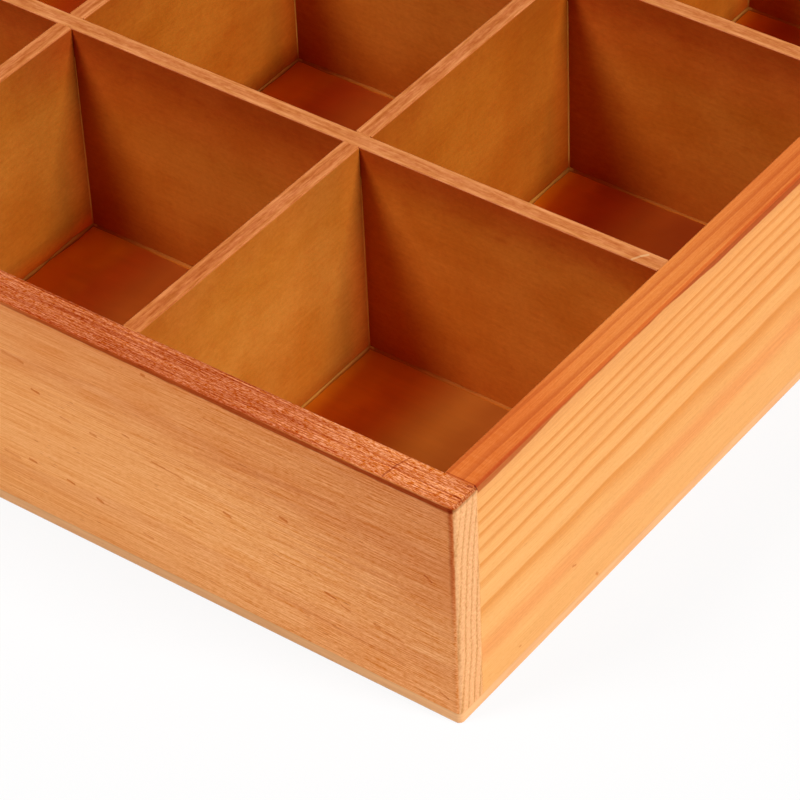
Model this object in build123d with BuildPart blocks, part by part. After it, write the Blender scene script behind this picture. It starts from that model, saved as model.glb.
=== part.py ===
"""Compartment tray of pine boards with an egg-crate grid of plywood dividers.

Millimetres, +Z up. The origin is the middle of the underside. X runs along the long side,
and the front of the tray faces -Y. The long boards run the full length and show their end
grain at the corners, the short boards butt between them, and a thin bottom panel lies flush
under all four. The dividers stand on the panel, butt against the boards and cross each other
in half-height notches.
"""

import os

from build123d import *

# Outside of the tray
tray_length = 340.0
tray_width = 254.0
tray_height = 60.0

# Stock
board_thickness = 8.0
bottom_thickness = 3.0
divider_thickness = 4.5

# Compartments
columns = 4
rows = 3

# Cross-lap notches: room beside the crossing divider, and between the ends of the notches
notch_side_clearance = 0.1
notch_end_clearance = 0.2

# Hand-sanded edges
outer_arris_radius = 0.9
inner_arris_radius = 0.4
corner_radius = 1.4
underside_arris_radius = 0.6
divider_arris_radius = 0.35

# Flat-wire brads driven up through the bottom panel into the boards, heads along each board
brad_wire_width = 1.25
brad_wire_thickness = 1.0
brad_head_width = 2.0
brad_head_breadth = 1.25
brad_head_height = 0.6
brad_length = 15.0
brad_tip_chamfer = 0.4
brad_set_depth = 0.2
brad_clearance = 0.05
brad_end_inset = 14.0
brads_per_long_board = 5
brads_per_short_board = 4

# Places that follow from the sizes
board_height = tray_height - bottom_thickness
inside_length = tray_length - 2 * board_thickness
inside_width = tray_width - 2 * board_thickness
cell_length = (inside_length - (columns - 1) * divider_thickness) / columns
cell_width = (inside_width - (rows - 1) * divider_thickness) / rows
column_pitch = cell_length + divider_thickness
row_pitch = cell_width + divider_thickness
long_board_y = (tray_width - board_thickness) / 2
short_board_x = (tray_length - board_thickness) / 2
notch_width = divider_thickness + 2 * notch_side_clearance
notch_depth = (board_height + notch_end_clearance) / 2
long_brad_pitch = (tray_length - 2 * brad_end_inset) / (brads_per_long_board - 1)
short_brad_pitch = (inside_width - 2 * brad_end_inset) / (brads_per_short_board - 1)
pilot_depth = brad_set_depth + brad_length + brad_clearance - bottom_thickness
head_recess_depth = brad_set_depth + brad_head_height + brad_clearance
wire_bore_width = brad_wire_width + 2 * brad_clearance
wire_bore_thickness = brad_wire_thickness + 2 * brad_clearance
head_recess_width = brad_head_width + 2 * brad_clearance
head_recess_breadth = brad_head_breadth + 2 * brad_clearance

panel_top = Plane.XY.offset(bottom_thickness)
rim = Plane.XY.offset(tray_height)
notch_ceiling = Plane.XY.offset(bottom_thickness + notch_depth)
notch_floor = Plane.XY.offset(tray_height - notch_depth)

os.makedirs("parts", exist_ok=True)


def finish(builder, name):
    """Label a finished piece and write its STEP file."""
    builder.part.label = name
    export_step(builder.part, f"parts/{name}.step")


def rim_edges(builder, axis, side):
    """Return the edges round the piece's top face, the innermost along the axis first."""
    return builder.faces().sort_by(Axis.Z)[-1].edges().sort_by(axis, reverse=side < 0)


def make_long_board(name, side):
    """Build the full-length board at the front (side -1) or at the back (side +1)."""
    with BuildPart() as board:
        with BuildSketch(panel_top):
            with Locations((0, side * long_board_y)):
                Rectangle(tray_length, board_thickness)
        extrude(amount=board_height)
        outer_face = board.faces().sort_by(Axis.Y, reverse=side > 0)[0]
        fillet(outer_face.edges().filter_by(Axis.Z), radius=corner_radius)
        fillet(rim_edges(board, Axis.Y, side)[1:], radius=outer_arris_radius)
        fillet(rim_edges(board, Axis.Y, side)[0], radius=inner_arris_radius)
        with BuildSketch(panel_top):
            with Locations((0, side * long_board_y)):
                with GridLocations(long_brad_pitch, board_thickness, brads_per_long_board, 1):
                    Rectangle(wire_bore_width, wire_bore_thickness)
        extrude(amount=pilot_depth, mode=Mode.SUBTRACT)
    finish(board, name)


def make_short_board(name, side):
    """Build the board between the long boards, at the left (side -1) or right (side +1)."""
    with BuildPart() as board:
        with BuildSketch(panel_top):
            with Locations((side * short_board_x, 0)):
                Rectangle(board_thickness, inside_width)
        extrude(amount=board_height)
        fillet(rim_edges(board, Axis.X, side)[-1], radius=outer_arris_radius)
        fillet(rim_edges(board, Axis.X, side)[0], radius=inner_arris_radius)
        with BuildSketch(panel_top):
            with Locations((side * short_board_x, 0)):
                with GridLocations(board_thickness, short_brad_pitch, 1, brads_per_short_board):
                    Rectangle(wire_bore_thickness, wire_bore_width)
        extrude(amount=pilot_depth, mode=Mode.SUBTRACT)
    finish(board, name)


def make_long_divider(name, place_y):
    """Build a divider along X, notched from below where the cross dividers pass under it."""
    with BuildPart() as divider:
        with BuildSketch(panel_top):
            with Locations((0, place_y)):
                Rectangle(inside_length, divider_thickness)
        extrude(amount=board_height)
        top_arrises = divider.faces().sort_by(Axis.Z)[-1].edges().filter_by(Axis.X)
        fillet(top_arrises, radius=divider_arris_radius)
        with BuildSketch(notch_ceiling):
            with Locations((0, place_y)):
                with GridLocations(column_pitch, divider_thickness, columns - 1, 1):
                    Rectangle(notch_width, divider_thickness)
        extrude(amount=-notch_depth, mode=Mode.SUBTRACT)
    finish(divider, name)


def make_cross_divider(name, place_x):
    """Build a divider along Y, notched from above where the long dividers lie in it."""
    with BuildPart() as divider:
        with BuildSketch(panel_top):
            with Locations((place_x, 0)):
                Rectangle(divider_thickness, inside_width)
        extrude(amount=board_height)
        top_arrises = divider.faces().sort_by(Axis.Z)[-1].edges().filter_by(Axis.Y)
        fillet(top_arrises, radius=divider_arris_radius)
        with BuildSketch(notch_floor):
            with Locations((place_x, 0)):
                with GridLocations(divider_thickness, row_pitch, 1, rows - 1):
                    Rectangle(divider_thickness, notch_width)
        extrude(amount=notch_depth, mode=Mode.SUBTRACT)
    finish(divider, name)


def brad_outlines(along, across):
    """Draw a rectangle at every brad, its first side along the board that the brad goes into."""
    with GridLocations(long_brad_pitch, 2 * long_board_y, brads_per_long_board, 2):
        Rectangle(along, across)
    with GridLocations(2 * short_board_x, short_brad_pitch, 2, brads_per_short_board):
        Rectangle(across, along)


# Bottom panel, flush with the outside of the boards, with recesses for the brads' heads
with BuildPart() as bottom_panel:
    with BuildSketch():
        RectangleRounded(tray_length, tray_width, corner_radius)
    extrude(amount=bottom_thickness)
    fillet(bottom_panel.faces().sort_by(Axis.Z)[0].edges(), radius=underside_arris_radius)
    with BuildSketch():
        brad_outlines(wire_bore_width, wire_bore_thickness)
    extrude(amount=bottom_thickness, mode=Mode.SUBTRACT)
    with BuildSketch():
        brad_outlines(head_recess_width, head_recess_breadth)
    extrude(amount=head_recess_depth, mode=Mode.SUBTRACT)
finish(bottom_panel, "bottom_panel")

# Boards
make_long_board("front_board", -1)
make_long_board("back_board", 1)
make_short_board("left_board", -1)
make_short_board("right_board", 1)

# Dividers, numbered from the front and from the left
for index in range(1, rows):
    make_long_divider(f"long_divider_{index}", (index - rows / 2) * row_pitch)
for index in range(1, columns):
    make_cross_divider(f"cross_divider_{index}", (index - columns / 2) * column_pitch)

# Brads, set just below the underside
with BuildPart() as bottom_brads:
    with BuildSketch(Plane.XY.offset(brad_set_depth)):
        brad_outlines(brad_head_width, brad_head_breadth)
    extrude(amount=brad_head_height)
    with BuildSketch(Plane.XY.offset(brad_set_depth)):
        brad_outlines(brad_wire_width, brad_wire_thickness)
    extrude(amount=brad_length)
    tips = bottom_brads.faces().filter_by(Axis.Z).group_by(Axis.Z)[-1].edges()
    chamfer(tips, length=brad_tip_chamfer)
finish(bottom_brads, "bottom_brads")
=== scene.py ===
"""Looks of the compartment tray: stained pine boards, plywood dividers, glue, filler and a studio.

X runs along the long side, the front faces -Y and +Z is up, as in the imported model. Shapes are in
metres. Materials, rings, flecks and outlines of strips are in millimetres.
"""

import math

import bmesh
import bpy
from mathutils import Matrix, Vector, noise


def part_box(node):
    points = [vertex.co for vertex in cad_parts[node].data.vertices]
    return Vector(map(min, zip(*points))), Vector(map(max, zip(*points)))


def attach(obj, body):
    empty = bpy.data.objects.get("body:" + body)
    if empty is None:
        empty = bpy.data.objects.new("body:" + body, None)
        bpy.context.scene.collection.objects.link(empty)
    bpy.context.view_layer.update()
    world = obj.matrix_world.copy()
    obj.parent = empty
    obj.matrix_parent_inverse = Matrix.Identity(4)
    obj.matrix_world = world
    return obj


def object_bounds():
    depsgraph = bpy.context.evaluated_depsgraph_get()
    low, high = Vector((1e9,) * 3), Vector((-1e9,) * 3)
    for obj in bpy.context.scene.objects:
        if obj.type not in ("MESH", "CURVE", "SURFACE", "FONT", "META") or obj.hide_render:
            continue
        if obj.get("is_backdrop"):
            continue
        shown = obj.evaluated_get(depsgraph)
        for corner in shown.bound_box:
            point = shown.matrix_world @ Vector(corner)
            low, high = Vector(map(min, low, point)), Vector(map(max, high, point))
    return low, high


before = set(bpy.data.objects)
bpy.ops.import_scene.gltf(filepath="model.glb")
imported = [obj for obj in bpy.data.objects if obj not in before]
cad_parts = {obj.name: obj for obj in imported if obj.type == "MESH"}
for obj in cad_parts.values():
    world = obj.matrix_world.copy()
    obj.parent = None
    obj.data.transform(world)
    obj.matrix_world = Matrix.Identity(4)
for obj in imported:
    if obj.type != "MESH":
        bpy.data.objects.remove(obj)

cad_low, cad_high = (Vector(corner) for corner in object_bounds())
MM = 0.001

# Sizes read from the frame
LONG_DIVIDERS = ("long_divider_1", "long_divider_2")
CROSS_DIVIDERS = ("cross_divider_1", "cross_divider_2", "cross_divider_3")
front_low, front_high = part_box("front_board")
divider_low, divider_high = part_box("long_divider_1")
BOARD = front_high.y - front_low.y
PLY = divider_high.y - divider_low.y
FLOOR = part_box("bottom_panel")[1].z
RIM = cad_high.z
INSIDE_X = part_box("right_board")[0].x
INSIDE_Y = -front_high.y
COLUMN_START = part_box("left_board")[1].x
COLUMN_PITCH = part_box("cross_divider_2")[1].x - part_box("cross_divider_1")[1].x
ROW_START = front_high.y
ROW_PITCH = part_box("long_divider_2")[0].y - divider_low.y
CELL_DEPTH = divider_low.y - ROW_START

# The same heights in millimetres, for the materials
FLOOR_UP = FLOOR / MM
RIM_UP = RIM / MM

WHITE = (1.0, 1.0, 1.0, 1.0)


def paint(red, green, blue):
    """Return a colour given in screen values of 0 to 255 as the linear colour that shaders take."""
    def linear(value):
        share = value / 255
        return share / 12.92 if share <= 0.04045 else ((share + 0.055) / 1.055) ** 2.4
    return (linear(red), linear(green), linear(blue), 1.0)


class Wire:
    """A number on its way through a node tree. Arithmetic on it adds Math nodes."""

    def __init__(self, tree, socket):
        self.tree = tree
        self.socket = socket

    def math(self, operation, *others):
        return self.tree.node(
            "ShaderNodeMath", {"operation": operation}, dict(enumerate((self, *others)))
        )

    def __add__(self, other):
        return self.math("ADD", other)

    __radd__ = __add__

    def __mul__(self, other):
        return self.math("MULTIPLY", other)

    __rmul__ = __mul__

    def __sub__(self, other):
        return self.math("SUBTRACT", other)

    def __rsub__(self, other):
        return self * -1.0 + other

    def __truediv__(self, other):
        return self.math("DIVIDE", other)

    def __pow__(self, other):
        return self.math("POWER", other)

    def __abs__(self):
        return self.math("ABSOLUTE")

    def floor(self):
        return self.math("FLOOR")

    def fraction(self):
        return self.math("FRACT")

    def least(self, other):
        return self.math("MINIMUM", other)

    def most(self, other):
        return self.math("MAXIMUM", other)

    def clip(self):
        """Hold the number between 0 and 1."""
        return self.most(0.0).least(1.0)

    def rise(self, start, end):
        """Go smoothly from 0 at start to 1 at end."""
        return self.tree.node(
            "ShaderNodeMapRange",
            {"interpolation_type": "SMOOTHSTEP"},
            {"Value": self, "From Min": start, "From Max": end},
        )

    def fall(self, start, end):
        """Go smoothly from 1 at start to 0 at end."""
        return 1 - self.rise(start, end)


class Tree:
    """The node tree of one material, or of the world."""

    def __init__(self, owner):
        owner.use_nodes = True
        self.nodes = owner.node_tree.nodes
        self.links = owner.node_tree.links
        self.nodes.clear()

    def node(self, kind, settings=None, sockets=None, output=0):
        """Add a node with its settings and its sockets' values or links, and return an output."""
        made = self.nodes.new(kind)
        for name, value in (settings or {}).items():
            setattr(made, name, value)
        for name, value in (sockets or {}).items():
            if isinstance(value, Wire):
                self.links.new(value.socket, made.inputs[name])
            else:
                made.inputs[name].default_value = value
        return Wire(self, made.outputs[output]) if made.outputs else made

    def point(self, x, y, z):
        return self.node("ShaderNodeCombineXYZ", None, {"X": x, "Y": y, "Z": z})

    def split(self, vector):
        parts = self.node("ShaderNodeSeparateXYZ", None, {"Vector": vector}).socket.node
        return [Wire(self, socket) for socket in parts.outputs]

    def cloud(self, x, y, z, detail=2.0, roughness=0.5):
        """Noise between 0 and 1, about 0.5 in the middle."""
        return self.node(
            "ShaderNodeTexNoise",
            {"noise_dimensions": "3D"},
            {"Vector": self.point(x, y, z), "Scale": 1.0, "Detail": detail, "Roughness": roughness},
        )

    def blend(self, share, low, high):
        """Mix two colours: low where share is 0, high where it is 1."""
        return self.node(
            "ShaderNodeMix", {"data_type": "RGBA"}, {0: share, 6: low, 7: high}, output=2
        )

    def times(self, colour, factors):
        """Multiply a colour channel by channel."""
        return self.node("ShaderNodeVectorMath", {"operation": "MULTIPLY"}, {0: colour, 1: factors})

    def tint(self, colour, strength, stain):
        """Multiply a colour by the red, green and blue shares of a stain or of painted light or shade, in
        full where strength is 1.
        """
        return self.times(colour, self.blend(strength, WHITE, (*stain, 1.0)))

    def shade(self, colour, depth):
        """Multiply a colour by a number on a wire."""
        return self.times(colour, self.point(depth, depth, depth))

    def vary(self, colour, amount, red, blue):
        """Lighten or darken a colour by an amount about 0, with red and blue changed by a share of it."""
        return self.times(colour, self.point(amount * red + 1.0, amount + 1.0, amount * blue + 1.0))

    def object_place(self):
        """Return the object's own coordinates in millimetres, as three wires."""
        place = self.node("ShaderNodeTexCoord", None, None, output=3)
        scaled = self.node("ShaderNodeVectorMath", {"operation": "SCALE"}, {0: place, "Scale": 1 / MM})
        return self.split(scaled)

    def facing(self):
        """Return the surface's direction as three wires."""
        return self.split(self.node("ShaderNodeNewGeometry", None, None, output=1))

    def finish(self, colour, roughness, relief, relief_depth, gloss):
        """End a material in one Principled shader, with a fine relief."""
        bump = {"Strength": 1.0, "Distance": relief_depth, "Height": relief}
        sockets = {"Base Color": colour, "Roughness": roughness, "Specular IOR Level": gloss}
        sockets["Normal"] = self.node("ShaderNodeBump", None, bump)
        surface = self.node("ShaderNodeBsdfPrincipled", None, sockets)
        self.node("ShaderNodeOutputMaterial", None, {"Surface": surface})


def new_material(name):
    material = bpy.data.materials.new(name)
    return material, Tree(material)


# Camera: where it stands, in the photograph's view, and the point that it looks at
VIEW_TURN = math.radians(37.86)
VIEW_HEIGHT = math.radians(40.53)
VIEW_ROLL = math.radians(-2.61)
VIEW_REACH = 768.2 * MM
VIEW_TARGET = Vector((141.9 * MM, -106.3 * MM, RIM))
LENS = 171.4
SENSOR = 36.0
CLIP_START = 10 * MM

# Lamps, which point at the compartment in the near corner: one high in front and a little to the
# left, one to the right. Sizes are in metres, power in watts.
LIT_POINT = Vector((100.0 * MM, -60.0 * MM, 30.0 * MM))
FRONT_LAMP = {"place": Vector((-0.37, -0.92, 1.12)), "width": 0.44, "height": 0.30, "power": 12.5}
RIGHT_LAMP = {"place": Vector((1.865, 0.153, 1.285)), "width": 0.52, "height": 0.16, "power": 42.0}

# The room: the world's light, and the white floor, of which the camera sees a share unshaded
ROOM_LIGHT = 0.045
FLOOR_HALF_SIDE = 3.0
FLOOR_PAINT = (0.86, 0.86, 0.86, 1.0)
FLOOR_UNSHADED = 0.88


def add_camera():
    camera = bpy.data.cameras.new("camera")
    camera.lens = LENS
    camera.sensor_width = SENSOR
    camera.clip_start = CLIP_START
    stand = bpy.data.objects.new("camera", camera)
    turn = Matrix.Rotation(VIEW_TURN, 4, "Z")
    tilt = Matrix.Rotation(math.pi / 2 - VIEW_HEIGHT, 4, "X")
    roll = Matrix.Rotation(VIEW_ROLL, 4, "Z")
    away = Matrix.Translation((0.0, 0.0, VIEW_REACH))
    stand.matrix_world = Matrix.Translation(VIEW_TARGET) @ turn @ tilt @ away @ roll
    bpy.context.scene.collection.objects.link(stand)
    bpy.context.scene.camera = stand


def add_softbox(name, place, width, height, power):
    """Hang a lamp at a place and turn it towards the lit point."""
    lamp = bpy.data.lights.new(name, "AREA")
    lamp.shape = "RECTANGLE"
    lamp.size = width
    lamp.size_y = height
    lamp.energy = power
    stand = bpy.data.objects.new(name, lamp)
    away = place - LIT_POINT
    stand.matrix_world = Matrix.Translation(place) @ away.to_track_quat("Z", "Y").to_matrix().to_4x4()
    bpy.context.scene.collection.objects.link(stand)


def add_room_light():
    """Light the tray faintly from all round, in a room that the camera sees as white."""
    world = bpy.data.worlds.new("studio")
    bpy.context.scene.world = world
    tree = Tree(world)
    light = tree.node("ShaderNodeBackground", None, {"Color": WHITE, "Strength": ROOM_LIGHT})
    white = tree.node("ShaderNodeBackground", None, {"Color": WHITE, "Strength": 1.0})
    seen = tree.node("ShaderNodeLightPath", None, None)
    either = tree.node("ShaderNodeMixShader", None, {0: seen, 1: light, 2: white})
    tree.node("ShaderNodeOutputWorld", None, {"Surface": either})


def add_floor():
    """Lay a white floor that keeps a soft part of the tray's shadow."""
    shape = bmesh.new()
    bmesh.ops.create_grid(shape, x_segments=1, y_segments=1, size=FLOOR_HALF_SIDE)
    mesh = bpy.data.meshes.new("floor")
    shape.to_mesh(mesh)
    shape.free()
    floor = bpy.data.objects.new("floor", mesh)
    bpy.context.scene.collection.objects.link(floor)
    material, tree = new_material("floor_white")
    matt = tree.node("ShaderNodeBsdfDiffuse", None, {"Color": FLOOR_PAINT})
    clear = tree.node("ShaderNodeEmission", None, {"Color": WHITE, "Strength": 1.0})
    seen = tree.node("ShaderNodeLightPath", None, None)
    either = tree.node("ShaderNodeMixShader", None, {0: seen * FLOOR_UNSHADED, 1: matt, 2: clear})
    tree.node("ShaderNodeOutputMaterial", None, {"Surface": either})
    mesh.materials.append(material)
    floor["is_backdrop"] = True


# Stain, and painted light and shade on the inner walls and floors, as the shares of red, green and blue
# that they leave

PINE_STAIN = {
    "cloud": (0.94, 0.87, 0.80), "pore": (0.74, 0.54, 0.40), "fleck": (0.76, 0.47, 0.22),
    "top_mark": (0.60, 0.38, 0.30), "end_line": (0.70, 0.48, 0.36), "end_arris": (0.66, 0.60, 0.54),
    "near_corner": (0.88, 0.80, 0.74),
}
FRONT_HAZE = {"upper": (0.87, 0.74, 0.66), "foot": (0.95, 0.91, 0.80), "right": (0.91, 0.84, 0.84)}
RIGHT_HAZE = {"upper": (0.95, 0.83, 0.72), "edge": (0.93, 0.89, 0.86), "band": (0.97, 0.81, 0.74)}
# Inner walls: the entries for other compartments, rows behind, beside and high in a corner are painted
# shade; low in a corner, middle, foot and away are painted light
WALL_STAIN_AND_PAINTED_LIGHT = {
    "mottle": (0.93, 0.80, 0.75), "away": (1.36, 1.05, 0.80), "under_rim": (0.76, 0.44, 0.40),
    "cross": (0.93, 1.10, 1.32), "cross_other_painted_shade": (0.86, 0.78, 0.62), "cross_behind_painted_shade": (0.97, 0.84, 0.62),
    "low_corner_painted_light": (1.40, 1.25, 1.30), "painted_shade_beside_corner": (0.93, 0.97, 1.0), "middle": (1.10, 1.22, 1.40),
    "painted_shade_high_corner": (0.90, 0.60, 0.56), "cross_foot_painted_light": (1.14, 1.08, 1.0), "front_foot_painted_light": (1.50, 1.25, 1.10),
    "long_other_painted_shade": (0.90, 0.80, 0.70), "long_band": (1.0, 0.82, 0.88), "long_foot": (0.86, 0.72, 0.58),
}
PLY_STAIN = {
    "patch": (0.89, 0.78, 0.64), "dash": (0.86, 0.72, 0.64), "arris": (0.70, 0.52, 0.42),
    "cross": (0.88, 0.78, 0.66), "long": (1.01, 1.06, 1.10),
}
# Floors: all but speck and upper_edge are painted light and shade, darker in other compartments, rows
# behind and away from the left wall, lighter in the shadow by the left wall
SHEET_STAIN_AND_PAINTED_LIGHT = {
    "other": (0.80, 0.55, 0.42), "behind": (0.97, 0.80, 0.60), "middle": (0.94, 0.62, 0.60),
    "right": (0.77, 0.68, 0.64), "left_other_painted_light": (1.45, 2.20, 1.0), "left": (1.66, 1.80, 0.50),
    "speck": (0.86, 0.76, 0.66), "upper_edge": (0.92, 0.90, 0.82),
}
WALL_LIGHT = paint(212, 121, 37)
WALL_DARK = paint(200, 107, 25)

# Colours of the glue, of the filler and of the brads' wire. A pair is blended in soft clouds.
GLUE_STAINED = (paint(205, 120, 46), paint(190, 104, 34))
# The pale glue by a left wall is partly painted light, lifting it in that wall's shade
GLUE_PALE_AND_PAINTED_LIGHT = (paint(242, 182, 84), paint(234, 166, 66))
FILLER_BARE = (paint(236, 172, 106), paint(226, 156, 90))
FILLER_AT_RIM = paint(208, 104, 48)
FILLER_INSIDE = paint(214, 128, 68)
STEEL = ((0.30, 0.29, 0.28, 1.0), (0.45, 0.44, 0.42, 1.0))

# Where the painted light and shade change beyond the compartment in the near corner: inside the
# divider behind it, and inside the one on its left
ROW_CHANGE = (-41.0, -39.0)
COLUMN_CHANGE = (81.0, 83.5)


def behind_front_row(y):
    return y.rise(*ROW_CHANGE)


def other_compartments(x, y):
    """1 in every compartment but the one in the front right corner."""
    return behind_front_row(y).most(x.fall(*COLUMN_CHANGE))


def front_row_further_left(x, y):
    """1 in the compartments of the front row but the last on the right."""
    return x.fall(*COLUMN_CHANGE) * y.fall(*ROW_CHANGE)


def from_left(x):
    """Distance in millimetres from the left wall of a compartment."""
    return ((x - COLUMN_START / MM) / (COLUMN_PITCH / MM)).fraction() * (COLUMN_PITCH / MM)


def from_back(y):
    """Distance in millimetres from the back wall of a compartment."""
    return ((y - ROW_START / MM) / (ROW_PITCH / MM)).fraction() * (-ROW_PITCH / MM) + CELL_DEPTH / MM


# Wood


class Board:
    """How a board lies: the axis of its grain, and the place and side of its outer face."""

    def __init__(self, name):
        self.name = name
        self.low, self.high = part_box(name)
        size = self.high - self.low
        self.crosswise = size.x < size.y
        self.along = 1 if self.crosswise else 0
        self.through = 1 - self.along
        centre = (self.low + self.high) / 2
        self.side = 1 if centre[self.through] > 0 else -1
        self.outer = (self.high if self.side > 0 else self.low)[self.through]
        self.thickness = size[self.through] / MM


def grain_place(tree, board):
    """Return wires in millimetres: along the grain, in from the outer face, and up."""
    parts = tree.object_place()
    inward = (parts[board.through] - board.outer / MM) * -board.side
    return parts[board.along], inward, parts[2]


def streaks(tree, place, length, thickness, detail=2.0, roughness=0.6):
    """Noise drawn out along the grain."""
    along, inward, up = place
    return tree.cloud(along / length, inward / thickness, up / thickness, detail, roughness)


def stroke(u, v, start, end, width):
    """A soft line from start to end, 1 on its middle and 0 at its width."""
    run = (end[0] - start[0], end[1] - start[1])
    length_squared = run[0] ** 2 + run[1] ** 2
    share = (((u - start[0]) * run[0] + (v - start[1]) * run[1]) / length_squared).clip()
    off_u = u - start[0] - share * run[0]
    off_v = v - start[1] - share * run[1]
    return ((off_u * off_u + off_v * off_v) ** 0.5).fall(width * 0.3, width)


def strokes(u, v, lines):
    """The strongest of several soft lines, each given as start, end, width and depth."""
    total = None
    for start, end, width, depth in lines:
        line = stroke(u, v, start, end, width) * depth
        total = line if total is None else total.most(line)
    return total


def growth_rings(tree, place, rings):
    """Late wood: 0 in the pale early wood, rising to 1 at the dark edge of each ring."""
    along, inward, up = place
    seed = rings["seed"]
    slow = tree.cloud(along / 120, inward / 30, up / 34 + seed, 1.0)
    quick = tree.cloud(along / 24, inward / 12, up / 12 + seed)
    height = up - rings["pith_up"] - along * rings["climb"]
    height = height + height.least(0.0) * rings["sunk"]
    lean = (height.least(-7.0) + 7.0) * rings["lean"]
    lean = lean + (height.most(0.0) + (height - 20.0).most(0.0)) * rings["lean_up"]
    across = inward - rings["pith_in"]
    reach = (across * across + height * height) ** 0.5
    reach = reach + lean + (slow - 0.5) * rings["sway"] + (quick - 0.5) * rings["ripple"]
    count = reach / rings["width"] + rings["start"]
    phase = count.fraction()
    strength = tree.cloud(count.floor() * 3.7, seed, along / 160, 1.0)
    return phase.rise(0.46, 0.90) * phase.fall(0.92, 1.0) * strength.rise(0.10, 0.50)


class Grain:
    """What the faces of one pine board share: places, rings, and fibre from broad to fine."""

    def __init__(self, tree, board, rings, look):
        self.place = grain_place(tree, board)
        self.along, self.inward, self.up = self.place
        self.drop = RIM_UP - self.up
        self.skirt = self.inward - self.drop
        self.late = growth_rings(tree, self.place, rings)
        fanned = (self.along, self.inward, look["fan"](self.along, self.up))
        self.broad = streaks(tree, fanned, 75.0, 2.60) - 0.5
        self.coarse = streaks(tree, fanned, 46.0, 1.10) - 0.5
        self.fine = streaks(tree, fanned, 24.0, 0.50) - 0.5
        self.hair = streaks(tree, fanned, 12.0, 0.25, 1.0, 0.5) - 0.5
        self.speck = streaks(tree, self.place, 1.4, 0.32, 2.0, 0.7) - 0.5
        self.cloudy = tree.cloud(self.along / 45, self.inward / 14, self.up / 12, 3.0)


def outer_face(tree, grain, look, marks, haze):
    """Rings, clouds, fibre and pores, with a board's own haze and flecks."""
    along, inward, up = grain.place
    face = tree.blend(grain.late * look["ring_share"](along, up), look["early"], look["late"])
    face = tree.tint(face, grain.cloudy.rise(0.40, 0.72) * look["cloud_share"], PINE_STAIN["cloud"])
    fibre = grain.fine * 0.60 + grain.coarse * 0.38 + grain.broad * 0.42
    fibre = fibre * look["fibre"](along) + (grain.hair + grain.speck) * look["hair"](along)
    face = tree.vary(face, fibre, look["fibre_red"], look["fibre_blue"])
    pores = streaks(tree, grain.place, 3.6, 0.38, 1.0, 0.5).rise(0.66, 0.74)
    pores = pores * tree.cloud(along / 16, inward, up / 7, 1.0).rise(0.45, 0.60)
    face = tree.tint(face, pores * look["pores"], PINE_STAIN["pore"])
    if haze is not None:
        face = haze(tree, face, along, up, grain.coarse)
    if marks is not None:
        ragged = grain.speck * 0.9
        flecks = strokes(along + ragged, up + ragged * 0.6, marks)
        face = tree.tint(face, flecks, PINE_STAIN["fleck"])
    return face


def end_grain(tree, grain, look):
    """The ends of a board, cut across: rings with wisps, and dots."""
    along, inward, up = grain.place
    dots = tree.cloud(along, inward * 1.7, up * 1.5, 2.0, 0.65) - 0.5
    wisp = tree.cloud(along, inward * 1.5, up / 1.1, 2.0, 0.65)
    rings = (grain.late * (wisp * 2.8 - 0.60)).clip() * 0.95
    return tree.vary(tree.blend(rings, look["end"], look["end_ring"]), dots * 1.05, 0.5, 1.3)


def top_edge(tree, grain, look, marks):
    """The top edge, which took up more stain: streaks, rings, saw chatter, grit and marks."""
    along, inward, up = grain.place
    thread = streaks(tree, grain.place, 20.0, 0.28, 2.0, 0.7) - 0.5
    streaky = (thread + grain.fine * 0.15) * look["top_streaks"] + 0.5
    top = tree.blend(streaky.clip(), look["top_dark"], look["top_light"])
    top = tree.blend((grain.late * look["top_ring_share"]).least(1.0), top, look["top_ring"])
    chatter = tree.cloud(along / 0.8, inward / 4.0, up, 1.0) - 0.5
    grit = streaks(tree, grain.place, 1.0, 0.22, 2.0, 0.75) - 0.5
    top = tree.vary(top, grit * look["top_grit"] + chatter * look["chatter"](along), 0.40, 2.3)
    top = tree.tint(top, look["top_patch"](along, grain.cloudy), look["patch_stain"])
    if marks is not None:
        top = tree.tint(top, strokes(along, inward + grain.fine * 0.4, marks), PINE_STAIN["top_mark"])
    return top


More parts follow.
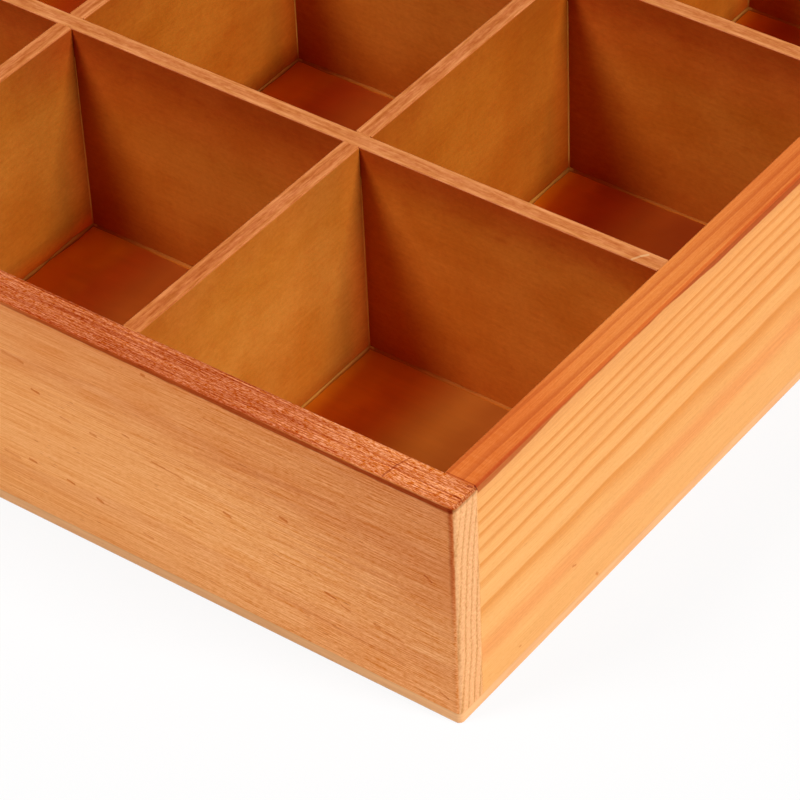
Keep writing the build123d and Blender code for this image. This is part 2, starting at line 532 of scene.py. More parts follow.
def pine(board, rings, look, marks=None, top_marks=None, haze=None):
    """Stained pine: outer and inner face, end grain and top edge, with stain gathered at the arris;
    painted light and shade on the inner face and the rounded top edge.
    """
    material, tree = new_material(f"pine_{board.name}")
    grain = Grain(tree, board, rings, look)
    along, inward, up = grain.place
    drop, skirt = grain.drop, grain.skirt
    facing = tree.facing()
    upward = facing[2].rise(0.12, 0.45).least(skirt.rise(-0.30, -0.02))
    endward = abs(facing[board.along]).rise(0.50, 0.78)
    inside = (facing[board.through] * -board.side).rise(0.3, 0.7)
    face = outer_face(tree, grain, look, marks, haze)
    wall = wall_stain_and_painted_light(tree, grain.place, facing, board.crosswise)
    colour = tree.blend(inside, face, wall)
    colour = tree.blend(endward, colour, end_grain(tree, grain, look))

    # Stain gathered round the outer arris, and in a line beside the corner
    uneven = (streaks(tree, grain.place, 9.0, 3.0) - 0.5) * 0.7
    beside = inward.fall(0.9, 1.1) * (1.0 - endward * 0.8)
    low_side = drop + uneven - look["arris_down"](along)
    high_side = drop + uneven * 0.4 - look["arris_from"](along)
    under = low_side.fall(-0.10, 0.35) * high_side.rise(-0.15, 0.25) * beside
    colour = tree.tint(colour, under * look["arris_depth"](along), look["arris_stain"])
    if not board.crosswise:
        waver = (tree.cloud(0.0, 0.0, up / 4.0 + rings["seed"]) - 0.5) * 0.9
        from_end = board.high[0] / MM - abs(along) + waver
        line = from_end.rise(0.35, 0.75) * from_end.fall(0.95, 1.9) * inward.fall(0.3, 0.8)
        colour = tree.tint(colour, line * (up.rise(20.0, 46.0) * 0.80 + 0.20), PINE_STAIN["end_line"])
    edge = (skirt + uneven * 0.3).fall(look["arris_in"] * 0.7, look["arris_in"])
    top = top_edge(tree, grain, look, top_marks)
    top = tree.tint(top, edge * (1.0 - endward * 0.6), look["arris_tint"])
    # Painted shade on the rounded outer edge, which turns towards the lamp
    top = tree.tint(top, skirt.fall(0.30, 0.80), look["arris_turn_painted_shade"])
    colour = tree.blend(upward, colour, top)
    if not board.crosswise:
        over_end = (drop + uneven * 0.5).fall(0.95, 1.45) * (from_end - waver).fall(0.35, 0.85)
        colour = tree.tint(colour, over_end, PINE_STAIN["end_arris"])
        near_corner = drop.fall(1.8, 3.2) * along.rise(140.0, 166.0) * beside
        colour = tree.tint(colour, near_corner, PINE_STAIN["near_corner"])

    rough = 0.50 + grain.fine * 0.25 + endward * 0.12 + under * 0.30
    relief = grain.coarse * 0.4 + grain.fine * 0.5 + grain.hair * 0.4 + grain.late * 0.15
    relief = relief + grain.speck * (0.15 + upward * 0.45)
    tree.finish(colour, rough, relief, 0.05 * MM, look["gloss"])
    return material


def cross_wall(tree, wall, x, y, up):
    """Walls along Y: yellower, and painted lighter or darker in patches set from the compartment's back
    wall.
    """
    corner = from_back(y)
    further_left = front_row_further_left(x, y)
    wall = tree.tint(wall, 1.0, WALL_STAIN_AND_PAINTED_LIGHT["cross"])
    # Painted shade: darker in every compartment but the front right one, and in the rows behind
    wall = tree.tint(wall, other_compartments(x, y), WALL_STAIN_AND_PAINTED_LIGHT["cross_other_painted_shade"])
    wall = tree.tint(wall, behind_front_row(y), WALL_STAIN_AND_PAINTED_LIGHT["cross_behind_painted_shade"])
    # Painted light low in the corner by the back wall, and painted shade just beside it
    wall = tree.tint(wall, corner.fall(1.5, 9.0) * up.fall(26.0, 46.0), WALL_STAIN_AND_PAINTED_LIGHT["low_corner_painted_light"])
    painted_shade_beside_corner = corner.rise(4.0, 9.0) * corner.fall(14.0, 26.0)
    wall = tree.tint(wall, painted_shade_beside_corner, WALL_STAIN_AND_PAINTED_LIGHT["painted_shade_beside_corner"])
    # Painted light in the middle of the wall
    middle = corner.rise(16.0, 34.0) * corner.fall(50.0, 64.0) * up.rise(16.0, 36.0)
    wall = tree.tint(wall, middle, WALL_STAIN_AND_PAINTED_LIGHT["middle"])
    # Painted shade high in the corner, in the front row further left
    painted_shade_high_corner = further_left * up.rise(42.0, 58.0) * corner.fall(4.0, 28.0)
    wall = tree.tint(wall, painted_shade_high_corner, WALL_STAIN_AND_PAINTED_LIGHT["painted_shade_high_corner"])
    # Painted light at the foot, more in the front row further left
    wall = tree.tint(wall, up.fall(4.0, 8.0), WALL_STAIN_AND_PAINTED_LIGHT["cross_foot_painted_light"])
    return tree.tint(wall, further_left * up.fall(4.5, 9.5), WALL_STAIN_AND_PAINTED_LIGHT["front_foot_painted_light"])


def long_wall(tree, wall, x, y, up):
    """Walls along X: painted shade in every compartment but the front right one, darker in a band near
    the top there, and darker towards the foot.
    """
    other = other_compartments(x, y)
    # Painted shade in the compartments away from the front right corner
    wall = tree.tint(wall, other * 0.5, WALL_STAIN_AND_PAINTED_LIGHT["long_other_painted_shade"])
    wall = tree.tint(wall, other * up.rise(36.0, 48.0) * up.fall(53.0, 59.0), WALL_STAIN_AND_PAINTED_LIGHT["long_band"])
    return tree.tint(wall, up.fall(5.0, 26.0), WALL_STAIN_AND_PAINTED_LIGHT["long_foot"])


def wall_stain_and_painted_light(tree, place, facing, crosswise):
    """Inner faces: warm brown stain in faint blotches, darker under the top edge.

    Painted shade darkens them away from the front right corner, and painted bounce light reddens the
    sides that face left or back.
    """
    along, inward, up = place
    x, y = tree.object_place()[:2]
    blotch = tree.cloud(along / 24, inward / 24, up / 20, 3.0, 0.55)
    mottle = tree.cloud(along / 5, inward / 5, up / 3.2, 3.0, 0.6)
    fibre = streaks(tree, place, 14.0, 0.9, 3.0, 0.65) - 0.5
    speck = tree.cloud(along / 1.4, inward / 1.4, up, 2.0, 0.7) - 0.5
    wall = tree.blend(blotch.rise(0.32, 0.68), WALL_LIGHT, WALL_DARK)
    wall = tree.tint(wall, mottle.rise(0.50, 0.72) * 0.5, WALL_STAIN_AND_PAINTED_LIGHT["mottle"])
    wall = tree.vary(wall, fibre * 0.30 + speck * 0.42, 0.64, 1.9)
    wall = (cross_wall if crosswise else long_wall)(tree, wall, x, y, up)
    # Painted bounce light: the sides that face left or back are redder, to fill the shadows with red
    # light
    wall = tree.tint(wall, (facing[1] - facing[0]).rise(0.3, 0.8), WALL_STAIN_AND_PAINTED_LIGHT["away"])
    under_rim = (up + (mottle - 0.5) * 5.0).rise(RIM_UP - 13.0, RIM_UP - 0.5)
    return tree.tint(wall, under_rim * (0.30 if crosswise else 1.0), WALL_STAIN_AND_PAINTED_LIGHT["under_rim"])


def three_ply(board, look, scratch=None):
    """Three-ply sheet: stained faces with painted light and shade, and on its edge two pale skins round a
    redder core.
    """
    material, tree = new_material(f"ply_{board.name}")
    place = grain_place(tree, board)
    along, inward, up = place
    facing = tree.facing()
    face = wall_stain_and_painted_light(tree, place, facing, board.crosswise)

    fine = streaks(tree, place, 4.0, 0.34, 3.0) - 0.5
    coarse = streaks(tree, place, 16.0, 0.8) - 0.5
    dash = streaks(tree, place, 2.4, 0.42, 1.0, 0.5)
    wander = (tree.cloud(along / 30, inward / 9, up) - 0.5) * 0.7
    middle = abs(inward - board.thickness / 2 + wander * 0.6)
    core = (middle + coarse * 0.3).fall(board.thickness * 0.17, board.thickness * 0.36)
    mottled = tree.cloud(along / 2.2, inward, up, 3.0, 0.7).rise(0.32, 0.66)
    patch = tree.cloud(along / 9, inward / 1.6, up, 2.0, 0.6)
    rim = tree.blend(core * (mottled * 0.55 + 0.25), look["skin"], look["core"])
    rim = tree.tint(rim, patch.rise(0.44, 0.64) * 0.75, PLY_STAIN["patch"])
    rim = tree.tint(rim, core * dash.rise(0.56, 0.70) * 0.5, PLY_STAIN["dash"])
    rim = tree.vary(rim, (fine * 1.05 + coarse * 0.45) * (1.25 if board.crosswise else 1.0), 0.65, 1.9)
    from_arris = inward.least(board.thickness - inward) + fine * 0.5
    rim = tree.tint(rim, from_arris.fall(0.05, 0.50) * 0.7, PLY_STAIN["arris"])
    if board.crosswise:
        rim = tree.tint(rim, along.fall(-125.0, -50.0) * 0.90 + 0.38, PLY_STAIN["cross"])
    else:
        rim = tree.tint(rim, 1.0, PLY_STAIN["long"])
    if scratch is not None:
        rim = tree.blend(strokes(along, inward, scratch), rim, look["scratch"])
    colour = tree.blend(facing[2].rise(0.35, 0.75), face, rim)
    tree.finish(colour, 0.50 + fine * 0.2, fine + coarse * 0.5, 0.05 * MM, 0.20)
    return material


def compartment_floor(tree, x, y, blotch, grain):
    """The panel inside the compartments: stain, with painted light and shade in soft bands from the left
    wall to the right one.
    """
    other = other_compartments(x, y)
    across = from_left(x) + (blotch - 0.5) * 9.0
    face = tree.blend(blotch.rise(0.32, 0.68), WALL_LIGHT, WALL_DARK)
    face = tree.shade(face, 1.0 + (grain - 0.5) * 0.16)
    # Painted shade: darker in every compartment but the front right one, and in the rows behind
    face = tree.tint(face, other, SHEET_STAIN_AND_PAINTED_LIGHT["other"])
    face = tree.tint(face, behind_front_row(y), SHEET_STAIN_AND_PAINTED_LIGHT["behind"])
    # Painted shade in the penumbra band and over the lit part, away from the left wall
    face = tree.tint(face, across.rise(8.0, 17.0) * across.fall(17.0, 28.0), SHEET_STAIN_AND_PAINTED_LIGHT["middle"])
    face = tree.tint(face, across.rise(27.0, 37.0), SHEET_STAIN_AND_PAINTED_LIGHT["right"])
    # Painted light: lighter and redder in the shadow by the left wall
    face = tree.tint(face, other * across.fall(3.0, 15.0), SHEET_STAIN_AND_PAINTED_LIGHT["left_other_painted_light"])
    return tree.tint(face, across.fall(8.0, 26.0), SHEET_STAIN_AND_PAINTED_LIGHT["left"])


def bottom_sheet(look):
    """Thin plywood: stained floor with painted light and shade inside the compartments, pale cut edge,
    bare underside.
    """
    material, tree = new_material("bottom_sheet")
    x, y, up = tree.object_place()
    facing = tree.facing()
    blotch = tree.cloud(x / 26, y / 26, up, 3.0, 0.55)
    grain = tree.cloud(x / 24, y / 2.0, up, 3.0, 0.6)
    speck = tree.cloud(x / 1.2, y / 1.2, up * 1.6, 2.0, 0.6)
    plies = tree.cloud(x / 14, y / 14, up * 1.1, 2.0, 0.6)
    cut = tree.blend(plies.rise(0.35, 0.65), look["cut"], look["cut_dark"])
    cut = tree.tint(cut, speck.rise(0.60, 0.75) * 0.4, SHEET_STAIN_AND_PAINTED_LIGHT["speck"])
    cut = tree.tint(cut, up.rise(FLOOR_UP - 0.6, FLOOR_UP - 0.1), SHEET_STAIN_AND_PAINTED_LIGHT["upper_edge"])
    underside = tree.blend(grain.rise(0.30, 0.70), look["cut"], look["cut_dark"])
    underside = tree.vary(underside, (grain - 0.5) * 0.4 + (speck - 0.5) * 0.15, 0.6, 1.5)
    face = compartment_floor(tree, x, y, blotch, grain)
    colour = tree.blend(abs(facing[2]).fall(0.3, 0.7), face, cut)
    colour = tree.blend(facing[2].fall(-0.7, -0.3), colour, underside)
    tree.finish(colour, 0.52 + (grain - 0.5) * 0.2, grain, 0.03 * MM, 0.30)
    return material


def brad_wire():
    """Plain steel wire, a little dull."""
    material, tree = new_material("brad_wire")
    x, y, up = tree.object_place()
    dull = tree.cloud(x * 2.0, y * 2.0, up)
    steel = tree.blend(dull, *STEEL)
    sockets = {"Base Color": steel, "Metallic": 1.0, "Roughness": dull * 0.3 + 0.3}
    surface = tree.node("ShaderNodeBsdfPrincipled", None, sockets)
    tree.node("ShaderNodeOutputMaterial", None, {"Surface": surface})
    return material


def dried_glue():
    """Wood glue squeezed out and stained over, paler by a left wall, partly as painted light, thinning to
    the floor's colour.
    """
    material, tree = new_material("dried_glue")
    x, y, up = tree.object_place()
    patch = tree.cloud(x / 6, y / 6, up / 6, 3.0)
    stained = tree.blend(patch.rise(0.3, 0.7), *GLUE_STAINED)
    pale = tree.blend(patch.rise(0.3, 0.7), *GLUE_PALE_AND_PAINTED_LIGHT)
    # Paler by a left wall: partly the glue's colour, partly painted light in the shade there
    colour = tree.blend(from_left(x).fall(0.9, 1.6), stained, pale)
    thick = (up + (patch - 0.5) * 0.4).rise(FLOOR_UP, FLOOR_UP + 0.32)
    colour = tree.blend(thick, WALL_DARK, colour)
    tree.finish(colour, 0.55 + patch * 0.1, patch, 0.05 * MM, 0.06)
    return material


def filled_seam():
    """Wood filler in the seams: pale beside the end grain, stained at the rim and inside the tray."""
    material, tree = new_material("filled_seam")
    x, y, up = tree.object_place()
    patch = tree.cloud(x, y, up / 1.5, 3.0)
    colour = tree.blend(patch.rise(0.35, 0.65), *FILLER_BARE)
    colour = tree.blend(up.rise(RIM_UP - 0.85, RIM_UP - 0.70), colour, FILLER_AT_RIM)
    inside_x = abs(x).fall(INSIDE_X / MM + 0.3, INSIDE_X / MM + 0.5)
    inside_y = abs(y).fall(INSIDE_Y / MM + 0.3, INSIDE_Y / MM + 0.5)
    colour = tree.blend(inside_x * inside_y, colour, FILLER_INSIDE)
    tree.finish(colour, 0.55 + patch * 0.1, patch, 0.03 * MM, 0.10)
    return material


def front_haze(tree, face, along, up, coarse):
    """Darken the front face towards its upper right corner, and yellow its foot on the left."""
    share = (up * 1.2 + along * 0.15 + coarse * 34.0).rise(46.0, 76.0)
    face = tree.tint(face, share, FRONT_HAZE["upper"])
    face = tree.tint(face, up.fall(8.0, 30.0) * along.fall(20.0, 90.0), FRONT_HAZE["foot"])
    return tree.tint(face, (along + coarse * 60.0).rise(105.0, 165.0), FRONT_HAZE["right"])


def right_haze(tree, face, along, up, coarse):
    """Darken the right face towards its upper far corner, along its upper edge, and in one soft band."""
    share = (up + along * 0.20 + coarse * 20.0).rise(0.0, 58.0)
    face = tree.tint(face, share, RIGHT_HAZE["upper"])
    face = tree.tint(face, up.rise(55.0, 58.5), RIGHT_HAZE["edge"])
    band = abs(up - 18.4 - along * 0.033 + coarse * 4.0).fall(0.5, 5.0)
    return tree.tint(face, band, RIGHT_HAZE["band"])


def right_top_patch(along, cloudy):
    """The right board's top is redder by the near corner and from the second row on."""
    wavy = along + (cloudy - 0.5) * 50
    return (wavy.fall(-102.0, -74.0) + wavy.rise(-36.0, -8.0) * 0.8).least(1.0)


def right_arris_down(along):
    """How far the stain runs down the right face, in millimetres."""
    return along.fall(-114.0, -86.0) * 1.3 + along.rise(-54.0, -28.0) * 1.22 + 0.40


def right_ring_share(along, up):
    """The rings fade out towards the foot of the right face, and at its upper edge near the corner."""
    return up.rise(12.0, 30.0) * (up - along * 0.02).fall(57.4, 58.4) * 0.74


# Looks of the pine boards. Where a look changes over the board, it is a function of the place.
FRONT_LOOK = {
    "early": paint(249, 172, 103), "late": paint(224, 136, 78),
    "ring_share": lambda along, up: 0.24, "cloud_share": 0.45,
    "fan": lambda along, up: up - (up - 26.0) * along.most(0.0) * 0.0008,
    "fibre": lambda along: 0.90 - along.rise(70.0, 150.0) * 0.26, "fibre_red": 0.40, "fibre_blue": 2.0,
    "hair": lambda along: along.rise(60.0, 155.0) * 0.86 + 0.56, "pores": 1.0, "gloss": 0.04,
    "end": paint(233, 172, 118), "end_ring": paint(200, 138, 78),
    "top_dark": paint(176, 65, 9), "top_light": paint(255, 165, 102), "top_ring": paint(189, 77, 27),
    "top_patch": lambda along, cloudy: (along + (cloudy - 0.5) * 50).fall(118.0, 158.0),
    "patch_stain": (0.78, 0.62, 0.58),
    "top_streaks": 2.45, "top_ring_share": 0.14, "top_grit": 4.4, "chatter": lambda along: 0.0,
    "arris_down": lambda along: along.rise(50.0, 165.0) * 0.56 + 1.07,
    "arris_from": lambda along: along.rise(85.0, 150.0) * 0.48,
    "arris_depth": lambda along: along.rise(25.0, 70.0) * 0.75 + 0.25,
    "arris_stain": (0.48, 0.20, 0.09), "arris_in": 0.16, "arris_tint": (1.0, 0.92, 0.86),
    "arris_turn_painted_shade": (1.0, 1.0, 1.0),
}
RIGHT_LOOK = {
    "early": paint(236, 171, 99), "late": paint(216, 130, 40),
    "ring_share": right_ring_share, "cloud_share": 0.25,
    "fan": lambda along, up: up,
    "fibre": lambda along: 0.36, "fibre_red": 0.60, "fibre_blue": 1.75,
    "hair": lambda along: 0.32, "pores": 0.30, "gloss": 0.16,
    "end": paint(160, 56, 24), "end_ring": paint(150, 50, 20),
    "top_dark": paint(218, 108, 42), "top_light": paint(252, 158, 80), "top_ring": paint(194, 86, 32),
    "top_patch": right_top_patch,
    "patch_stain": (0.90, 0.72, 0.62),
    "top_streaks": 0.9, "top_ring_share": 0.50, "top_grit": 0.55,
    "chatter": lambda along: along.fall(-114.0, -92.0) * 0.45,
    "arris_down": right_arris_down,
    "arris_from": lambda along: -0.2,
    "arris_depth": lambda along: 1.0 - along.fall(-100.0, -80.0) * 0.15,
    "arris_stain": (0.54, 0.24, 0.12), "arris_in": 0.95, "arris_tint": (0.86, 0.66, 0.50),
    # Painted shade on the rounded top edge, which turns towards the right lamp
    "arris_turn_painted_shade": (0.80, 0.74, 0.72),
}

# Growth rings: the pith's place in from the outer face and up, the rings' width and the share of a
# ring at which they start, the pith's climb along the board, how far the rings are pressed flat
# under the pith, how they lean under and over it, their unevenness, and the seed of that
FRONT_RINGS = {
    "pith_in": 430.0, "pith_up": 25.0, "width": 2.0, "start": 0.1, "climb": 0.0,
    "sunk": 0.0, "lean": 0.16, "lean_up": 0.055, "sway": 1.6, "ripple": 0.60, "seed": 3.0,
}
RIGHT_RINGS = {
    "pith_in": 37.5, "pith_up": 20.9, "width": 2.147, "start": 0.11, "climb": 0.016,
    "sunk": -0.62, "lean": 0.0, "lean_up": 0.0, "sway": 0.8, "ripple": 0.40, "seed": 8.0,
}
LEFT_RINGS = {**RIGHT_RINGS, "pith_up": 48.0, "seed": 11.0}
BACK_RINGS = {**FRONT_RINGS, "pith_up": 12.0, "seed": 5.0}

PLY_LOOK = {"skin": paint(229, 143, 82), "core": paint(200, 108, 54), "scratch": paint(244, 196, 140)}
SHEET_LOOK = {"cut": paint(242, 184, 127), "cut_dark": paint(235, 173, 116)}

# Flecks on the front and right faces: start and end along the board and up, width and depth
FRONT_FLECKS = [
    ((59.2, 38.3), (61.2, 38.0), 0.42, 1.0),
    ((56.2, 44.9), (57.6, 44.7), 0.40, 0.7),
    ((66.6, 34.1), (69.4, 33.8), 0.34, 0.6),
    ((74.8, 33.5), (76.4, 33.3), 0.42, 0.8),
    ((91.6, 33.7), (100.0, 33.0), 0.30, 0.8),
    ((84.0, 37.7), (85.8, 37.4), 0.36, 0.7),
    ((91.1, 57.4), (91.9, 57.3), 0.46, 0.9),
    ((110.4, 29.0), (112.1, 28.5), 0.52, 0.9),
    ((125.6, 35.4), (127.2, 35.0), 0.54, 1.0),
    ((136.2, 19.9), (139.0, 19.4), 0.38, 1.0),
    ((140.4, 18.4), (142.6, 17.7), 0.32, 0.8),
    ((148.6, 17.5), (150.2, 17.2), 0.36, 0.8),
    ((151.6, 16.8), (156.2, 16.1), 0.28, 0.6),
    ((162.2, 38.3), (163.9, 37.3), 0.38, 1.0),
    ((165.0, 7.0), (167.0, 6.2), 0.40, 0.8),
    ((56.0, 17.0), (57.8, 16.8), 0.46, 0.9),
    ((66.6, 16.2), (68.4, 15.8), 0.42, 0.9),
    ((74.7, 14.9), (76.2, 14.4), 0.50, 0.9),
    ((99.0, 22.0), (101.4, 21.7), 0.32, 0.7),
    ((87.2, 11.2), (89.8, 10.9), 0.32, 0.6),
    ((49.0, 16.2), (53.0, 15.8), 0.60, 0.5),
    ((52.0, 45.4), (57.0, 44.9), 0.70, 0.4),
    ((107.0, 53.2), (128.0, 52.2), 0.28, 0.5),
    ((116.0, 12.8), (156.0, 10.0), 0.55, 0.4),
    ((104.0, 42.2), (140.0, 46.4), 0.90, 0.3),
]
RIGHT_FLECKS = [
    ((-86.1, 13.2), (-85.1, 12.7), 0.32, 0.8),
    ((-77.3, 4.3), (-76.8, 3.8), 0.50, 0.8),
    ((-105.9, 5.8), (-105.4, 5.6), 0.36, 0.6),
]

# Marks on the top edges, along the board and in from its outer face: on the front board a saw line
# in two parts, a nick by the corner and a short crack, on the right board a line at each of two
# places, and on the front divider a scratch in two parts
FRONT_TOP_MARKS = [
    ((152.5, 0.3), (153.1, 4.5), 0.35, 0.9),
    ((153.1, 4.5), (154.1, 8.0), 0.30, 0.8),
    ((168.5, 7.2), (169.0, 7.5), 0.55, 1.0),
    ((167.6, 3.4), (169.8, 3.1), 0.30, 0.8),
]
RIGHT_TOP_MARKS = [
    ((-118.9, 0.5), (-118.9, 7.5), 0.25, 0.9),
    ((13.0, 6.6), (13.8, 7.9), 0.45, 0.5),
]
DIVIDER_MARKS = {
    "long_divider_1": [
        ((155.6, 0.3), (156.6, 2.2), 0.40, 0.45),
        ((156.6, 2.2), (157.6, 3.4), 0.45, 0.60),
    ],
}

PINE_BOARDS = {
    "front_board": (FRONT_RINGS, FRONT_LOOK, FRONT_FLECKS, FRONT_TOP_MARKS, front_haze),
    "right_board": (RIGHT_RINGS, RIGHT_LOOK, RIGHT_FLECKS, RIGHT_TOP_MARKS, right_haze),
    "left_board": (LEFT_RINGS, RIGHT_LOOK),
    "back_board": (BACK_RINGS, FRONT_LOOK),
}


def dress(name, material):
    """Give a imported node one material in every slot."""
    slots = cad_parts[name].data.materials
    for index in range(len(slots)):
        slots[index] = material
    if not slots:
        slots.append(material)


def add_piece(shape, name, material, smooth=True):
    """Make a finished shape into a piece that rides on the tray."""
    mesh = bpy.data.meshes.new(name)
    shape.to_mesh(mesh)
    shape.free()
    if smooth:
        mesh.shade_smooth()
    mesh.materials.append(material)
    piece = bpy.data.objects.new(name, mesh)
    bpy.context.scene.collection.objects.link(piece)
    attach(piece, "root")


def new_verts(made):
    return [item for item in made["geom"] if isinstance(item, bmesh.types.BMVert)]


# Glue, squeezed out where the walls meet the floor and each other. A profile is in shares of the
# bead's reach: out from the wall and up from the floor, or out from each of two walls.
BEAD_REACH = 0.85 * MM
BEAD_SINK = 0.06 * MM
BEAD_HEIGHT_SHARE = 0.85
BEAD_CUTS = 23
BEAD_PROFILE = [(0.0, 0.0), (0.0, 1.0), (0.10, 0.55), (0.28, 0.28), (0.55, 0.10), (1.0, 0.0)]
CORNER_REACH = 0.45 * MM
CORNER_TAPER = 0.75
CORNER_TOP = FLOOR + (RIM - FLOOR) * 0.86
CORNER_ROWS = 14
CORNER_PROFILE = [(-0.1, -0.1), (1.0, -0.1), (0.45, 0.02), (0.16, 0.16), (0.02, 0.45), (-0.1, 1.0)]


def glue_wander(point):
    """How much wider or narrower the bead is at a point, as a share."""
    slow = noise.noise(point * 90.0)
    quick = noise.noise(point * 420.0 + Vector((7.0, 3.0, 1.0)))
    return 1.0 + 0.45 * slow + 0.30 * quick


def floor_bead(shape, low, high):
    """Run a hollow fillet of glue round the floor of one compartment."""
    start = shape.verts.layers.float_vector["start"]
    corners = [(low.x, low.y), (high.x, low.y), (high.x, high.y), (low.x, high.y)]
    ring = [shape.verts.new((x, y, FLOOR)) for x, y in corners]
    for index in range(len(ring)):
        shape.edges.new((ring[index - 1], ring[index]))
    bmesh.ops.subdivide_edges(shape, edges=shape.edges[:], cuts=BEAD_CUTS)
    first = shape.edges[:]
    ring = shape.verts[:]
    for vert in ring:
        vert[start] = vert.co
    last = first
    for out, rise in BEAD_PROFILE:
        for vert in ring:
            place = vert[start]
            reach = BEAD_REACH * glue_wander(place)
            inset = out * reach - BEAD_SINK
            vert.co.x = min(max(place.x, low.x + inset), high.x - inset)
            vert.co.y = min(max(place.y, low.y + inset), high.y - inset)
            vert.co.z = FLOOR - BEAD_SINK + rise * reach * BEAD_HEIGHT_SHARE
        if (out, rise) != BEAD_PROFILE[-1]:
            made = bmesh.ops.extrude_edge_only(shape, edges=last)
            ring = new_verts(made)
            last = [item for item in made["geom"] if isinstance(item, bmesh.types.BMEdge)]
    bmesh.ops.bridge_loops(shape, edges=first + last)


def corner_bead(shape, corner, towards):
    """Run a thin fillet of glue up one corner, towards the middle of the compartment."""
    start = shape.verts.layers.float_vector["start"]
    ring = [shape.verts.new((out, along, 0.0)) for out, along in CORNER_PROFILE]
    for vert in ring:
        vert[start] = vert.co
    cap = shape.faces.new(ring)
    for row in range(CORNER_ROWS + 1):
        share = row / CORNER_ROWS
        height = FLOOR + (CORNER_TOP - FLOOR) * share
        wander = glue_wander(Vector((corner.x, corner.y, height)))
        reach = CORNER_REACH * wander * (1.0 - CORNER_TAPER * share ** 3)
        for vert in ring:
            vert.co.x = corner.x + towards[0] * vert[start].x * reach
            vert.co.y = corner.y + towards[1] * vert[start].y * reach
            vert.co.z = height
        if row < CORNER_ROWS:
            made = bmesh.ops.extrude_face_region(shape, geom=[cap])
            # The extrusion keeps the face that it starts from, which belongs only to the first row
            if row > 0:
                bmesh.ops.delete(shape, geom=[cap], context="FACES_ONLY")
            ring = new_verts(made)
            cap = next(item for item in made["geom"] if isinstance(item, bmesh.types.BMFace))


def add_glue(row, column, low, high, glue):
    """Glue one compartment round its floor and up its four corners."""
    shape = bmesh.new()
    shape.verts.layers.float_vector.new("start")
    floor_bead(shape, low, high)
    bmesh.ops.recalc_face_normals(shape, faces=shape.faces)
    # On a closed ring that recalculation can point every face inwards
    if shape.calc_volume(signed=True) < 0.0:
        bmesh.ops.reverse_faces(shape, faces=shape.faces)
    facing_out = set(shape.faces)
    for x, side_x in ((low.x, 1), (high.x, -1)):
        for y, side_y in ((low.y, 1), (high.y, -1)):
            corner_bead(shape, Vector((x, y, 0.0)), (side_x, side_y))
    corner_faces = [face for face in shape.faces if face not in facing_out]
    bmesh.ops.recalc_face_normals(shape, faces=corner_faces)
    add_piece(shape, f"glue_bead_{row}_{column}", glue)


def compartment_edges(axis, first, last, dividers):
    """Return the low and high sides of the compartments along one axis."""
    lows = [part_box(first)[1][axis]] + [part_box(name)[1][axis] for name in dividers]
    highs = [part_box(name)[0][axis] for name in dividers] + [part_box(last)[0][axis]]
    return list(zip(lows, highs))


# Wood filler in the seams. The outline of the upright strips is in from the outer end and over the
# seam beside the end grain. The other two are out from a seam in the top and down from the rim: in
# the V between two eased edges, and where a cross divider meets a long one.
END_GRAIN_SEAM = [(0.008, -0.12), (0.008, 0.46), (0.25, 0.42), (0.46, 0.20), (0.50, -0.12)]
TOP_SEAM = [(0.43, 0.012), (-0.08, 0.012), (-0.08, 0.60), (0.06, 0.50), (0.30, 0.24)]
CROSSING_SEAM = [(-0.33, 0.06), (0.14, 0.02), (0.14, 1.0), (-0.04, 1.0), (-0.10, 0.30)]

# How far the strips stay short: of the rim, of the inner face and of both faces of a board, and of
# each face of a divider
END_GRAIN_SHORT = 0.9 * MM
BOARD_START = 0.3 * MM
BOARD_SHORT = 1.1 * MM
DIVIDER_SHORT = 0.45 * MM


def fill(shape, outline, run):
    """Run a strip of filler of a given outline along a straight seam."""
    ring = [shape.verts.new(point) for point in outline]
    made = bmesh.ops.extrude_face_region(shape, geom=[shape.faces.new(ring)])
    bmesh.ops.translate(shape, verts=new_verts(made), vec=run)


def fill_board_corner(shape, side_x, side_y):
    """Fill the seam of one corner, up beside the end grain and across the top."""
    outline = [
        (side_x * (cad_high.x - inward * MM), side_y * (INSIDE_Y + over * MM), FLOOR)
        for inward, over in END_GRAIN_SEAM
    ]
    fill(shape, outline, (0.0, 0.0, RIM - FLOOR - END_GRAIN_SHORT))
    start = side_x * (INSIDE_X + BOARD_START)
    outline = [(start, side_y * (INSIDE_Y + over * MM), RIM - down * MM) for over, down in TOP_SEAM]
    fill(shape, outline, (side_x * (BOARD - BOARD_SHORT), 0.0, 0.0))


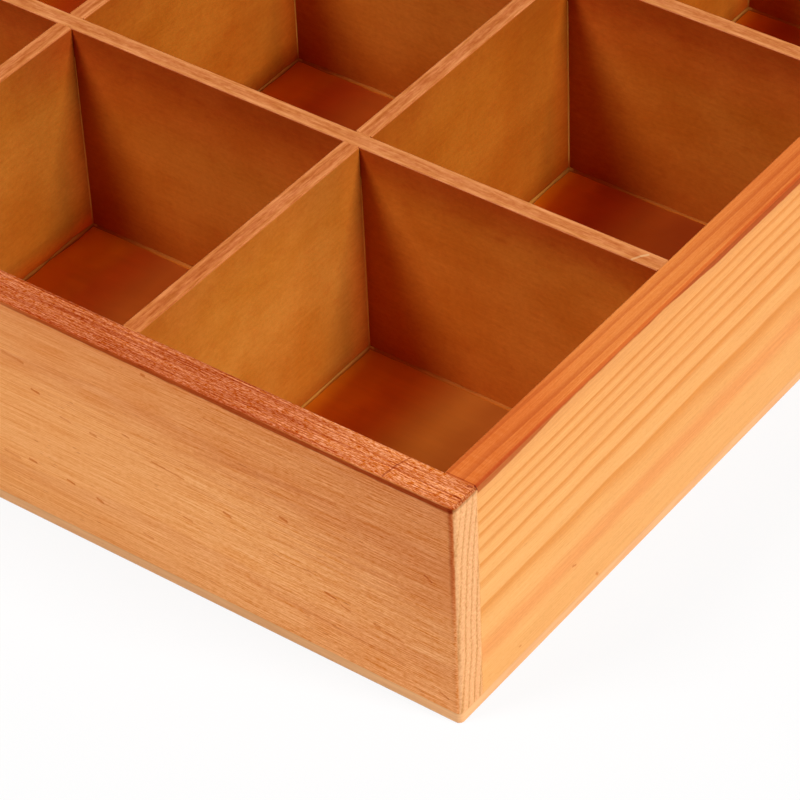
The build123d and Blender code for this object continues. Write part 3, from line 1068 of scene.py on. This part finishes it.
def fill_divider_end(shape, name, axis, side, wall, seam):
    """Fill the seam over a divider's edge, on one side of the wall that it meets."""
    low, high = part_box(name)
    half = PLY / 2 - DIVIDER_SHORT
    start = (low[axis] + high[axis]) / 2 - half
    outline = []
    for over, down in seam:
        point = Vector((wall + side * over * MM, wall + side * over * MM, RIM - down * MM))
        point[axis] = start
        outline.append(point)
    run = Vector((0.0, 0.0, 0.0))
    run[axis] = 2 * half
    fill(shape, outline, run)


def add_seam_filler():
    """Fill the eased seams flush: at the corners, at the dividers' ends and at the crossings."""
    shape = bmesh.new()
    for side in (-1, 1):
        for side_y in (-1, 1):
            fill_board_corner(shape, side, side_y)
        for name in LONG_DIVIDERS:
            fill_divider_end(shape, name, 1, side, side * INSIDE_X, TOP_SEAM)
        for name in CROSS_DIVIDERS:
            fill_divider_end(shape, name, 0, side, side * INSIDE_Y, TOP_SEAM)
            for crossed in LONG_DIVIDERS:
                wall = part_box(crossed)[0 if side < 0 else 1].y
                fill_divider_end(shape, name, 0, side, wall, CROSSING_SEAM)
    bmesh.ops.recalc_face_normals(shape, faces=shape.faces)
    add_piece(shape, "seam_filler", filled_seam(), smooth=False)


for name, details in PINE_BOARDS.items():
    dress(name, pine(Board(name), *details))
for name in LONG_DIVIDERS + CROSS_DIVIDERS:
    dress(name, three_ply(Board(name), PLY_LOOK, DIVIDER_MARKS.get(name)))
dress("bottom_panel", bottom_sheet(SHEET_LOOK))
dress("bottom_brads", brad_wire())

glue = dried_glue()
rows = compartment_edges(1, "front_board", "back_board", LONG_DIVIDERS)
columns = compartment_edges(0, "left_board", "right_board", CROSS_DIVIDERS)
for row, (low_y, high_y) in enumerate(rows, start=1):
    for column, (low_x, high_x) in enumerate(columns, start=1):
        add_glue(row, column, Vector((low_x, low_y, FLOOR)), Vector((high_x, high_y, FLOOR)), glue)
add_seam_filler()

add_camera()
add_softbox("front_softbox", **FRONT_LAMP)
add_softbox("right_softbox", **RIGHT_LAMP)
add_room_light()
add_floor()
bpy.context.scene.view_settings.view_transform = "Standard"
